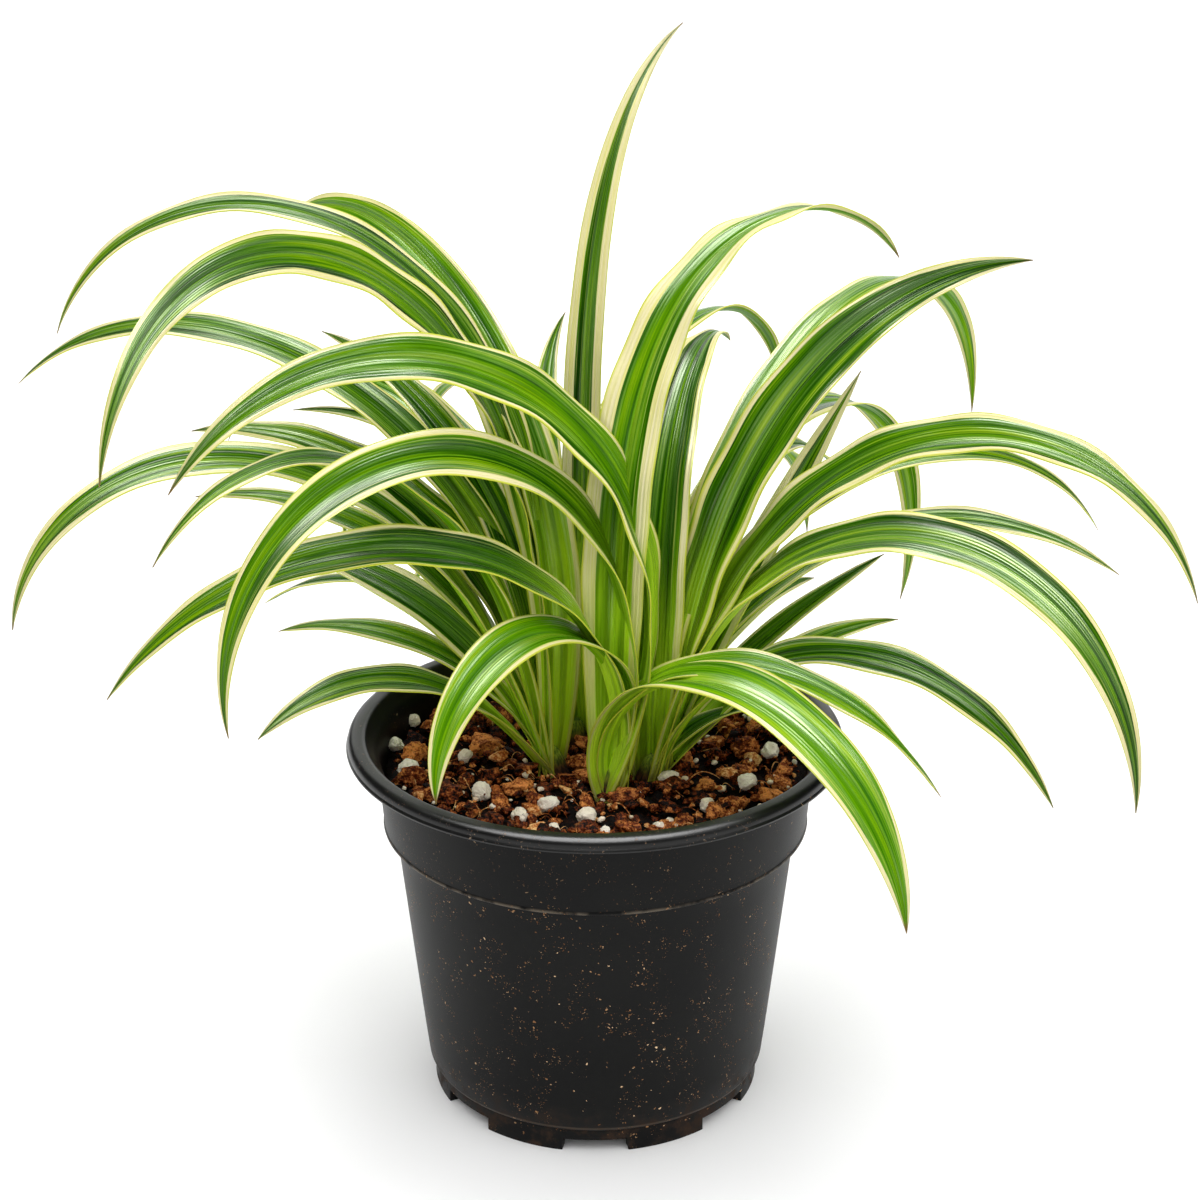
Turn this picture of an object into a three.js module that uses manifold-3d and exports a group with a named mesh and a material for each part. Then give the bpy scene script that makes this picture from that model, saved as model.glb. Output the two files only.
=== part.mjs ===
// Potted spider plant, in millimetres, +Z up.
// A moulded nursery pot holds a plug of potting mix. Five crowns stand in holes in the mix,
// and each crown carries its own rosette of strap leaves.
import * as THREE from "three";
import { mergeVertices } from "three/addons/utils/BufferGeometryUtils.js";
import Module from "manifold-3d";

const wasm = await Module();
wasm.setup();

// ---- driving dimensions -----------------------------------------------------------------

const FIT_GAP = 0.3; // clearance between a piece and the one that holds it

const POT = {
  height: 118,
  wall: 1.5,
  rimRadius: 76, // outside of the lip
  rimInnerRadius: 69.5,
  rimDepth: 4.4,
  collarTopRadius: 67,
  collarFootRadius: 65,
  stepHeight: 88.4, // the collar ends here and the narrower body begins
  stepRise: 2.2,
  bodyTopRadius: 61.7,
  bodyFootRadius: 53,
  ringTop: 8.5, // the recessed foot ring ends here
  ringRadius: 51.2,
  ringThickness: 3.6,
  floorUnderside: 4,
  floorThickness: 1.8,
  edgeRound: 0.8,
  rimFillet: 3, // the inside flares into the lip over this height
  sides: 42,
  facetTurn: 0.031, // radians that the facets are turned by, so that no edge lies along X or Y
};

const FEET = { count: 7, height: 4, gapDegrees: 23, frontGap: -90 };
const DRAINS = { count: 6, radius: 4.5, ringRadius: 34, sides: 10 };
const CUTTER_REACH = 2; // a cutting body runs this far past what it cuts

const MIX = {
  level: 104.5, // mean height of the surface
  relief: 2.2,
  crownDip: 101.6, // the surface sinks to this height around a crown
  dipRadius: 12,
  wallGap: 0.5, // round the side, where the facets of mix and pot don't line up
  footInset: 1.4,
  rings: 7,
  sides: 36,
};

const BARK = { count: 34, minSize: 3.6, maxSize: 6, flatness: 0.55, seed: 7 };
const PERLITE = { count: 16, minSize: 2, maxSize: 3, flatness: 0.9, seed: 19 };
const LUMP = {
  clearance: 13, // from the middle of a crown to the middle of a lump
  narrowing: 0.75,
  tilt: 0.9,
  lift: 0.25, // height of its middle above the surface, as a share of its height
};

const CROWN = { radius: 6.2, neck: 5.2, foot: 3.4, bottom: 76, soil: 104, top: 110, sides: 14 };

const BLADE = {
  thickness: 0.7,
  roots: { flat: 45, outer: 5.2, steep: 115, inner: 1.2 }, // start of a leaf, by its slope
  steps: 60, // steps along which an arch is summed up
  facetLength: 20, // along a leaf, about
  facetRange: [7, 12], // fewest and most facets along a leaf
  baseShare: 0.6, // width at the base, as a share of the full width
  fullAt: 0.4, // the leaf reaches its full width here
  tipPower: 3.2,
  foldAtBase: 20, // degrees that each half is folded up from flat
  foldAtTip: 6,
  tipHalfWidth: 0.5,
};

const COLOURS = { pot: 0x242625, mix: 0x46291a, leaf: 0x4f8f33 };

// ---- the leaves -------------------------------------------------------------------------

// One leaf. heading is the compass angle in which it leaves the crown, 0 towards +X and 90
// towards +Y, and sweep is how far that turns on the way to the tip. rise and fall are the
// slopes at base and tip, and bend says how late the leaf comes down. roll turns the blade
// about its own run, and twist adds to that near the tip. Angles are in degrees.
function arch(heading, sweep, rise, fall, bend, length, width, roll, twist) {
  return { heading, sweep, rise, fall, bend, length, width, roll, twist };
}

const SHOOTS = {
  left: {
    crown: [-13, 5],
    leaves: [
      arch(158, 40, 91, -72, 2.2, 285, 14, -20, -20),
      arch(138, -12, 98, -30, 1.45, 252, 20, -50, -20),
      arch(190, 56, 90, -78, 2, 306, 18, -74, 20),
      arch(170, -14, 87, -44, 1.3, 260, 15, -30, -10),
      arch(196, 2, 72, -83, 1.9, 236, 16, -30, -20),
      arch(210, 17, 79, -50, 1.9, 208, 12, -20, 0),
      arch(168, 11, 82, -10, 1.45, 166, 16, -40, 0),
      arch(180, -25, 76, -23, 0.85, 104, 12, -20, 0),
      arch(207, 17, 55, -30, 1.4, 114, 14, -30, 0),
      arch(162, 0, 74, 0, 0.9, 112, 16, -40, 0),
      arch(148, 0, 88, 10, 1.5, 162, 14, -40, 0),
      arch(184, 0, 74, -8, 1.5, 148, 13, -30, 0),
    ],
  },
  front: {
    crown: [4, -9],
    leaves: [
      arch(187, 23, 115, -54, 1.23, 257, 20, -56, 0),
      arch(202, 18, 110, -100, 1.25, 258, 18, -62, 40),
      arch(218, -36, 114, -56, 0.78, 220, 18, -35, 0),
      arch(224, 3, 119, -95, 1.03, 140, 19, -16, -32),
      arch(-29, 4, 118, -53, 0.61, 143, 14, 30, -50),
      arch(-44, 10, 116, -83, 0.65, 166, 21, 8, 60),
      arch(60, -46, 90, -62, 3.1, 236, 21, 66, -120),
    ],
  },
  right: {
    crown: [17, -1],
    leaves: [
      arch(80, -12, 88, -40, 2.6, 172, 20, 0, 0),
      arch(10, -10, 80, 0, 2.3, 207, 22, 50, 50),
      arch(38, 20, 80, -90, 1.8, 280, 18, 20, -60),
      arch(50, 0, 92, -114, 1.3, 258, 17, 30, -90),
      arch(3, 25, 74, 55, 0.8, 137, 12, 60, 0),
      arch(-5, -30, 76, -72, 1.83, 241, 17, 60, -50),
      arch(-22, -26, 78, -90, 1.42, 240, 18, 40, 0),
      arch(18, 0, 48, -5, 1.6, 89, 12, 20, 0),
      arch(-16, -16, 78, -60, 0.92, 157, 15, 25, 0),
      arch(8, 0, 77, -3, 0.8, 38, 12, 0, 0),
    ],
  },
  back_left: {
    crown: [-6, 26],
    leaves: [
      arch(158, 24, 85, -5, 1.6, 150, 11, -30, 0),
      arch(50, 0, 90, 22, 4.3, 232, 13, 30, 20),
      arch(140, -70, 88, 20, 1.6, 145, 12, 0, 0),
      arch(140, 8, 80, -66, 1.6, 215, 15, -30, 0),
      arch(128, 0, 78, -80, 1.3, 192, 16, 0, 0),
      arch(110, 8, 82, -66, 1.5, 196, 14, 0, 0),
      arch(168, -15, 62, -40, 1.2, 125, 13, 0, 0),
      arch(122, 0, 60, -50, 1.1, 125, 14, 0, 0),
      arch(45, 7, 95, -92, 2, 220, 15, 0, -20),
    ],
  },
  back_right: {
    crown: [17, 25],
    leaves: [
      arch(46, 0, 90, -60, 1.6, 152, 16, 15, 0),
      arch(8, 12, 76, -60, 1.4, 204, 12, 30, 0),
      arch(-2, -24, 71, -30, 1.25, 178, 12, 30, 0),
      arch(5, 0, 48, 31, 1.4, 90, 10, 30, 0),
      arch(98, 6, 80, -78, 1.3, 192, 15, 0, 0),
      arch(60, 8, 76, -82, 1.35, 190, 15, 10, 0),
      arch(20, 6, 66, -20, 1.3, 118, 14, 20, 0),
      arch(88, 0, 60, -60, 1.1, 130, 14, 0, 0),
      arch(42, 0, 56, -10, 1.2, 82, 13, 20, 0),
    ],
  },
};

// ---- helpers ----------------------------------------------------------------------------

const radians = THREE.MathUtils.degToRad;
const { lerp, clamp, smoothstep } = THREE.MathUtils;

// Repeatable random numbers between 0 and 1.
function randomFrom(seed) {
  let state = seed;
  return () => {
    state = (state * 1664525 + 1013904223) % 4294967296;
    return state / 4294967296;
  };
}

function toSolid(geometry) {
  const bare = geometry.index ? geometry.clone() : geometry;
  bare.deleteAttribute("normal");
  bare.deleteAttribute("uv");
  const merged = mergeVertices(bare, 1e-4);
  const vertProperties = new Float32Array(merged.attributes.position.array);
  const triVerts = new Uint32Array(merged.index.array);
  return new wasm.Manifold(new wasm.Mesh({ numProp: 3, vertProperties, triVerts }));
}

// The triangles of the outermost shell. Small pockets that crossing blades seal between them
// are separate shells inside it, so leaving those out makes them solid.
function outerShell(vertProperties, triVerts) {
  const parent = Array.from({ length: vertProperties.length / 3 }, (_, index) => index);
  const rootOf = (vertex) => {
    let root = vertex;
    while (parent[root] !== root) {
      parent[root] = parent[parent[root]];
      root = parent[root];
    }
    return root;
  };
  for (let i = 0; i < triVerts.length; i += 3) {
    parent[rootOf(triVerts[i + 1])] = rootOf(triVerts[i]);
    parent[rootOf(triVerts[i + 2])] = rootOf(triVerts[i]);
  }
  const corner = (vertex) => new THREE.Vector3().fromArray(vertProperties, vertex * 3);
  const volumes = new Map();
  for (let i = 0; i < triVerts.length; i += 3) {
    const [a, b, c] = [0, 1, 2].map((k) => corner(triVerts[i + k]));
    const root = rootOf(triVerts[i]);
    volumes.set(root, (volumes.get(root) ?? 0) + a.dot(b.cross(c)) / 6);
  }
  const [outerRoot] = [...volumes].reduce((best, entry) => (entry[1] > best[1] ? entry : best));
  const kept = [];
  for (let i = 0; i < triVerts.length; i += 3) {
    if (rootOf(triVerts[i]) === outerRoot) {
      kept.push(triVerts[i], triVerts[i + 1], triVerts[i + 2]);
    }
  }
  return kept;
}

function toMesh(name, solid, material) {
  const { vertProperties, triVerts } = solid.getMesh();
  const geometry = new THREE.BufferGeometry();
  geometry.setAttribute("position", new THREE.BufferAttribute(new Float32Array(vertProperties), 3));
  geometry.setIndex(outerShell(vertProperties, triVerts));
  geometry.computeVertexNormals();
  const mesh = new THREE.Mesh(geometry, material);
  mesh.name = name;
  return mesh;
}

// A solid of revolution about an upright axis, from [radius, height] points that start and end
// on the axis and are listed from the bottom up.
function turned(profile, sides, [x, y] = [0, 0], facetTurn = 0) {
  const points = profile.map(([radius, height]) => new THREE.Vector2(radius, height));
  const lathe = new THREE.LatheGeometry(points, sides, facetTurn);
  return toSolid(lathe.rotateX(Math.PI / 2).translate(x, y, 0));
}

function closedGeometry(vertices, triangles) {
  const geometry = new THREE.BufferGeometry();
  geometry.setAttribute("position", new THREE.Float32BufferAttribute(vertices.flat(), 3));
  geometry.setIndex(triangles.flat());
  return geometry;
}

// ---- pot --------------------------------------------------------------------------------

// Radius of the pot's inside at a height, also used for the mix that fills it.
function potInnerRadius(height) {
  if (height > POT.stepHeight) {
    const share = (height - POT.stepHeight) / (POT.height - POT.rimDepth - POT.stepHeight);
    return lerp(POT.collarFootRadius, POT.collarTopRadius, clamp(share, 0, 1)) - POT.wall;
  }
  const share = (height - POT.ringTop) / (POT.stepHeight - POT.ringTop);
  return lerp(POT.bodyFootRadius, POT.bodyTopRadius, clamp(share, 0, 1)) - POT.wall;
}

function potShell() {
  const floorTop = POT.floorUnderside + POT.floorThickness;
  const rimBottom = POT.height - POT.rimDepth;
  const ringInner = POT.ringRadius - POT.ringThickness;
  const collarFoot = POT.stepHeight + POT.stepRise;
  const edge = POT.edgeRound;
  return turned([
    [0, POT.floorUnderside],
    [ringInner, POT.floorUnderside],
    [ringInner, 0],
    [POT.ringRadius, 0],
    [POT.ringRadius, POT.ringTop - edge],
    [POT.bodyFootRadius - edge / 2, POT.ringTop],
    [POT.bodyFootRadius, POT.ringTop + 1.5 * edge],
    [POT.bodyTopRadius, POT.stepHeight],
    [POT.collarFootRadius - edge, POT.stepHeight + edge / 2],
    [POT.collarFootRadius, collarFoot],
    [POT.collarTopRadius, rimBottom],
    [POT.rimRadius - edge, rimBottom],
    [POT.rimRadius, rimBottom + edge],
    [POT.rimRadius, POT.height - 1.4 * edge],
    [POT.rimRadius - 1.4 * edge, POT.height],
    [POT.rimInnerRadius + edge, POT.height],
    [POT.rimInnerRadius, POT.height - edge],
    [potInnerRadius(POT.height), rimBottom - POT.rimFillet],
    [potInnerRadius(collarFoot), collarFoot],
    [potInnerRadius(POT.stepHeight), POT.stepHeight],
    [potInnerRadius(POT.ringTop), POT.ringTop],
    [potInnerRadius(POT.ringTop) - edge, floorTop],
    [0, floorTop],
  ], POT.sides, [0, 0], POT.facetTurn);
}

// A wedge that clears the foot ring between two feet.
function footGap(degrees) {
  const half = radians(FEET.gapDegrees / 2);
  const outer = POT.ringRadius + CUTTER_REACH;
  const inner = POT.ringRadius - POT.ringThickness - CUTTER_REACH;
  const outline = new THREE.Shape();
  outline.absarc(0, 0, outer, -half, half, false);
  outline.absarc(0, 0, inner, half, -half, true);
  outline.closePath();
  const wedge = new THREE.ExtrudeGeometry(outline, {
    depth: FEET.height + CUTTER_REACH,
    bevelEnabled: false,
    curveSegments: 4,
  });
  wedge.translate(0, 0, -CUTTER_REACH).rotateZ(radians(degrees));
  return toSolid(wedge);
}

function drainCutter(degrees, ringRadius) {
  const depth = POT.floorThickness + 2 * CUTTER_REACH;
  const drill = new THREE.CylinderGeometry(DRAINS.radius, DRAINS.radius, depth, DRAINS.sides);
  drill.rotateX(Math.PI / 2);
  const angle = radians(degrees);
  drill.translate(ringRadius * Math.cos(angle), ringRadius * Math.sin(angle), POT.floorUnderside);
  return toSolid(drill);
}

function makePot() {
  let pot = potShell();
  for (let i = 0; i < FEET.count; i += 1) {
    pot = pot.subtract(footGap(FEET.frontGap + (360 / FEET.count) * i));
  }
  for (let i = 0; i < DRAINS.count; i += 1) {
    pot = pot.subtract(drainCutter((360 / DRAINS.count) * i, DRAINS.ringRadius));
  }
  return pot.subtract(drainCutter(0, 0));
}

// ---- potting mix ------------------------------------------------------------------------

const crownPlaces = Object.values(SHOOTS).map((shoot) => shoot.crown);

function distanceToCrown(x, y) {
  return Math.min(...crownPlaces.map(([cx, cy]) => Math.hypot(x - cx, y - cy)));
}

// Height of the mix's surface: three crossing waves, sunk around each crown.
function mixSurface(x, y) {
  const waves = Math.sin(x * 0.21 + 1) * Math.cos(y * 0.17)
    + 0.6 * Math.sin(x * 0.41 - y * 0.37)
    + 0.4 * Math.cos(x * 0.73 + y * 0.61 + 2);
  const open = MIX.level + MIX.relief * 0.5 * waves;
  const share = smoothstep(distanceToCrown(x, y), MIX.dipRadius * 0.6, MIX.dipRadius * 1.4);
  return lerp(MIX.crownDip, open, share);
}

// The plug: bottom centre, rings up the side, then rings in over the surface to its centre.
function mixPlug() {
  const bottom = POT.floorUnderside + POT.floorThickness + FIT_GAP;
  const sideHeights = [bottom, POT.ringTop + 1, POT.stepHeight - 0.5, POT.stepHeight + POT.stepRise];
  const vertices = [[0, 0, bottom]];
  const addRing = (radius, heightAt) => {
    for (let i = 0; i < MIX.sides; i += 1) {
      const angle = (2 * Math.PI * i) / MIX.sides;
      const x = radius * Math.cos(angle);
      const y = radius * Math.sin(angle);
      vertices.push([x, y, heightAt(x, y)]);
    }
  };
  for (const height of sideHeights) {
    const inset = height === bottom ? MIX.footInset : 0;
    const limit = Math.min(potInnerRadius(height), potInnerRadius(height - POT.stepRise));
    addRing(limit - MIX.wallGap - inset, () => height);
  }
  const edge = potInnerRadius(MIX.level - MIX.relief) - MIX.wallGap;
  for (let ring = MIX.rings; ring > 0; ring -= 1) {
    addRing((edge * ring) / MIX.rings, mixSurface);
  }
  vertices.push([0, 0, mixSurface(0, 0)]);

  const ringCount = sideHeights.length + MIX.rings;
  const at = (ring, i) => 1 + ring * MIX.sides + (i % MIX.sides);
  const last = vertices.length - 1;
  const triangles = [];
  for (let i = 0; i < MIX.sides; i += 1) {
    triangles.push([0, at(0, i + 1), at(0, i)]);
    for (let ring = 0; ring + 1 < ringCount; ring += 1) {
      triangles.push([at(ring, i), at(ring, i + 1), at(ring + 1, i + 1)]);
      triangles.push([at(ring, i), at(ring + 1, i + 1), at(ring + 1, i)]);
    }
    triangles.push([at(ringCount - 1, i), at(ringCount - 1, i + 1), last]);
  }
  return toSolid(closedGeometry(vertices, triangles));
}

// Bark chips and perlite grains lie scattered over the surface, sunk into it.
function scatterLumps(plug, { count, minSize, maxSize, flatness, seed }) {
  const random = randomFrom(seed);
  const reach = potInnerRadius(MIX.level) - MIX.wallGap - maxSize;
  let solid = plug;
  let placed = 0;
  while (placed < count) {
    const radius = reach * Math.sqrt(random());
    const angle = 2 * Math.PI * random();
    const size = lerp(minSize, maxSize, random());
    const tilts = [random(), random(), random()];
    const x = radius * Math.cos(angle);
    const y = radius * Math.sin(angle);
    if (distanceToCrown(x, y) > LUMP.clearance) {
      const lump = new THREE.IcosahedronGeometry(size, 0);
      lump.scale(1, LUMP.narrowing, flatness);
      lump.rotateX(tilts[0] * LUMP.tilt).rotateZ(tilts[1] * 2 * Math.PI).rotateY(tilts[2] * LUMP.tilt);
      lump.translate(x, y, mixSurface(x, y) + size * flatness * LUMP.lift);
      solid = solid.add(toSolid(lump));
      placed += 1;
    }
  }
  return solid;
}

function makeMix() {
  let mix = scatterLumps(mixPlug(), BARK);
  mix = scatterLumps(mix, PERLITE);
  for (const place of crownPlaces) {
    mix = mix.subtract(crownBody(place, FIT_GAP));
  }
  return mix;
}

// ---- crowns and leaves ------------------------------------------------------------------

// The rootstock under a rosette. With extra it is the hole that the rootstock stands in,
// which goes straight up through the surface.
function crownBody(place, extra) {
  const isHole = extra > 0;
  const profile = [
    [0, CROWN.bottom - extra],
    [CROWN.foot + extra, CROWN.bottom - extra],
    [CROWN.neck + extra, (CROWN.bottom + CROWN.soil) / 2],
    [CROWN.radius + extra, CROWN.soil - 4],
    [isHole ? CROWN.radius + extra : CROWN.radius - 0.4, CROWN.soil + 2],
    [isHole ? CROWN.radius + extra : CROWN.neck - 1.5, CROWN.top],
    [0, CROWN.top],
  ];
  return turned(profile, CROWN.sides, place);
}

function headingAt(leaf, share) {
  return radians(leaf.heading + leaf.sweep * share);
}

function slopeAt(leaf, share) {
  return radians(leaf.rise + (leaf.fall - leaf.rise) * share ** leaf.bend);
}

// The leaf's direction, its side to side direction and its upper face's direction.
function bladeFrame(leaf, share) {
  const heading = headingAt(leaf, share);
  const slope = slopeAt(leaf, share);
  const level = new THREE.Vector3(-Math.sin(heading), Math.cos(heading), 0);
  const along = new THREE.Vector3(
    Math.cos(slope) * Math.cos(heading),
    Math.cos(slope) * Math.sin(heading),
    Math.sin(slope),
  );
  const roll = radians(leaf.roll * (1 - (1 - share) ** 2) + leaf.twist * share ** 3);
  const side = level.applyAxisAngle(along, roll);
  const face = new THREE.Vector3().crossVectors(along, side);
  return { along, side, face };
}

// Outer leaves spread flat and start near the crown's edge, inner ones stand near its middle.
function rootOffset(leaf) {
  const { flat, steep, outer, inner } = BLADE.roots;
  return lerp(outer, inner, clamp((leaf.rise - flat) / (steep - flat), 0, 1));
}

function bladeSpine(leaf, [x, y]) {
  const start = radians(leaf.heading);
  const offset = rootOffset(leaf);
  const point = new THREE.Vector3(x + offset * Math.cos(start), y + offset * Math.sin(start), CROWN.soil);
  const spine = [point.clone()];
  for (let step = 0; step < BLADE.steps; step += 1) {
    const { along } = bladeFrame(leaf, (step + 0.5) / BLADE.steps);
    point.addScaledVector(along, leaf.length / BLADE.steps);
    spine.push(point.clone());
  }
  return spine;
}

function halfWidth(leaf, share) {
  const opened = Math.sin((Math.min(1, share / BLADE.fullAt) * Math.PI) / 2);
  const swell = BLADE.baseShare + (1 - BLADE.baseShare) * opened;
  const taper = Math.max(0, 1 - share ** BLADE.tipPower) ** 0.9;
  return Math.max(BLADE.tipHalfWidth, (leaf.width / 2) * swell * taper);
}

// A blade folded along its midrib, as one closed band of six corners a station.
function bladeSolid(leaf, crown) {
  const spine = bladeSpine(leaf, crown);
  const vertices = [];
  const segments = clamp(Math.round(leaf.length / BLADE.facetLength), ...BLADE.facetRange);
  for (let station = 0; station <= segments; station += 1) {
    const step = Math.round((station / segments) * BLADE.steps);
    const share = step / BLADE.steps;
    const centre = spine[step];
    const { side, face } = bladeFrame(leaf, share);
    const fold = radians(lerp(BLADE.foldAtBase, BLADE.foldAtTip, share));
    const half = halfWidth(leaf, share);
    for (const depth of [0, -BLADE.thickness / Math.cos(fold)]) {
      for (const across of [-1, 0, 1]) {
        const lift = depth + Math.abs(across) * half * Math.sin(fold);
        const corner = centre.clone().addScaledVector(side, across * half * Math.cos(fold));
        vertices.push(corner.addScaledVector(face, lift).toArray());
      }
    }
  }
  const at = (station, across, lower) => station * 6 + (lower ? 3 : 0) + across;
  const triangles = [];
  const addQuad = (a, b, c, d) => triangles.push([a, b, c], [a, c, d]);
  for (let s = 0; s < segments; s += 1) {
    for (const k of [0, 1]) {
      triangles.push(
        [at(s, k), at(s + 1, k), at(s + 1, k + 1)],
        [at(s, k), at(s + 1, k + 1), at(s, k + 1)],
      );
      triangles.push(
        [at(s, k, true), at(s + 1, k + 1, true), at(s + 1, k, true)],
        [at(s, k, true), at(s, k + 1, true), at(s + 1, k + 1, true)],
      );
    }
    addQuad(at(s, 0), at(s, 0, true), at(s + 1, 0, true), at(s + 1, 0));
    addQuad(at(s, 2), at(s + 1, 2), at(s + 1, 2, true), at(s, 2, true));
  }
  for (const k of [0, 1]) {
    addQuad(at(0, k), at(0, k + 1), at(0, k + 1, true), at(0, k, true));
    addQuad(
      at(segments, k),
      at(segments, k, true),
      at(segments, k + 1, true),
      at(segments, k + 1),
    );
  }
  return toSolid(closedGeometry(vertices, triangles));
}

function makeShoot({ crown, leaves }) {
  let shoot = crownBody(crown, 0);
  for (const leaf of leaves) {
    shoot = shoot.add(bladeSolid(leaf, crown));
  }
  return shoot;
}

// ---- assembly ---------------------------------------------------------------------------

const potMaterial = new THREE.MeshStandardMaterial({ color: COLOURS.pot, roughness: 0.42, metalness: 0 });
const mixMaterial = new THREE.MeshStandardMaterial({ color: COLOURS.mix, roughness: 0.95, metalness: 0 });

const group = new THREE.Group();
group.add(toMesh("pot", makePot(), potMaterial));
group.add(toMesh("potting_mix", makeMix(), mixMaterial));
for (const [name, shoot] of Object.entries(SHOOTS)) {
  const leafMaterial = new THREE.MeshStandardMaterial({
    color: COLOURS.leaf,
    roughness: 0.4,
    metalness: 0,
    side: THREE.DoubleSide,
  });
  group.add(toMesh(`shoot_${name}`, makeShoot(shoot), leafMaterial));
}

// The origin lies under the middle of the whole outline, on the surface the pot stands on.
const outline = new THREE.Box3().setFromObject(group);
const middle = outline.getCenter(new THREE.Vector3());
group.position.set(-middle.x, -middle.y, 0);

export default group;
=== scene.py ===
"""Looks of a potted spider plant: a black nursery pot, bark mix with perlite, and five shoots of
arching leaves with cream margins.

Shapes are in millimetres and counted from the pot's axis, as in the solids. to_row() turns them
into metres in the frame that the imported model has. Materials, lamps and the camera are in metres.
"""

import math
from collections import namedtuple

import bmesh
import bpy
import numpy as np
from mathutils import Matrix, Vector, noise


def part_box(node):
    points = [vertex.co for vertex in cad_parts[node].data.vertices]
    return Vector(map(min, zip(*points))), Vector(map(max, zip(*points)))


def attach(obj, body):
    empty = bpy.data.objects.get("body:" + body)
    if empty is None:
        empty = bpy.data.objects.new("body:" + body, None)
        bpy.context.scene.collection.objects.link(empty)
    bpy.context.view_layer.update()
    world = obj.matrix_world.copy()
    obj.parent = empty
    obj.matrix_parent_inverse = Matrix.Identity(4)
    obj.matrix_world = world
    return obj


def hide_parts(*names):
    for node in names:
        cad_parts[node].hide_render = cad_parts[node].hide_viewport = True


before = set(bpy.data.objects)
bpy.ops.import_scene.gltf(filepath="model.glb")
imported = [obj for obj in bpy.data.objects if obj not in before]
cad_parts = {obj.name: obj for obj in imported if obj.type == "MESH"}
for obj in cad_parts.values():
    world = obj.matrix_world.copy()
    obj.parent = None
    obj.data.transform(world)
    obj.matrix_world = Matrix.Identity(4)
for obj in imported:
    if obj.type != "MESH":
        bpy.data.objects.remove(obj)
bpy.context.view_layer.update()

MM = 0.001
POT_LOW, POT_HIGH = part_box("pot")
AXIS = Vector(((POT_LOW.x + POT_HIGH.x) / 2, (POT_LOW.y + POT_HIGH.y) / 2, 0))
POT_HEIGHT = POT_HIGH.z / MM
RIM_RADIUS = (POT_HIGH.x - POT_LOW.x) / 2 / MM


# ---- numbers and meshes ------------------------------------------------------------------


def lerp(a, b, share):
    """a where share is 0, and b where it is 1."""
    return a + (b - a) * share


def smooth(value, low, high):
    """0 below low, 1 above high and an S between, for numbers and arrays."""
    share = np.clip((value - low) / (high - low), 0, 1)
    return share * share * (3 - 2 * share)


def bell(value, width):
    """1 at 0 and falling to nothing over a few widths."""
    return np.exp(-((value / width) ** 2))


def to_row(points):
    """Metres in the row frame, from millimetres counted from the pot's axis."""
    return np.asarray(points, float) * MM + np.array(AXIS)


def add_piece(name, points, faces, material, replaced, sharp_above=40):
    """A mesh from points in millimetres, riding on the root body."""
    mesh = bpy.data.meshes.new(name)
    mesh.from_pydata(to_row(points).tolist(), [], faces)
    return add_mesh(mesh, material, replaced, sharp_above)


def add_mesh(mesh, material, replaced, sharp_above=40):
    """A smooth piece whose edges stay sharp where they turn by more than sharp_above degrees."""
    mesh.validate()
    mesh.shade_smooth()
    mesh.set_sharp_from_angle(angle=math.radians(sharp_above))
    mesh.materials.append(material)
    piece = bpy.data.objects.new(mesh.name, mesh)
    bpy.context.scene.collection.objects.link(piece)
    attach(piece, "root")
    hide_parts(replaced)
    return piece


def set_values(piece, name, values):
    """One number a vertex, which the material reads by name."""
    attribute = piece.data.attributes.new(name, "FLOAT", "POINT")
    attribute.data.foreach_set("value", np.asarray(values, np.float32))


# ---- materials ---------------------------------------------------------------------------


def paint(red, green, blue):
    """A linear colour from the 0 to 255 values that it shows on a screen."""
    shares = [value / 255 for value in (red, green, blue)]
    linear = [s / 12.92 if s <= 0.04045 else ((s + 0.055) / 1.055) ** 2.4 for s in shares]
    return (*linear, 1.0)


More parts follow.
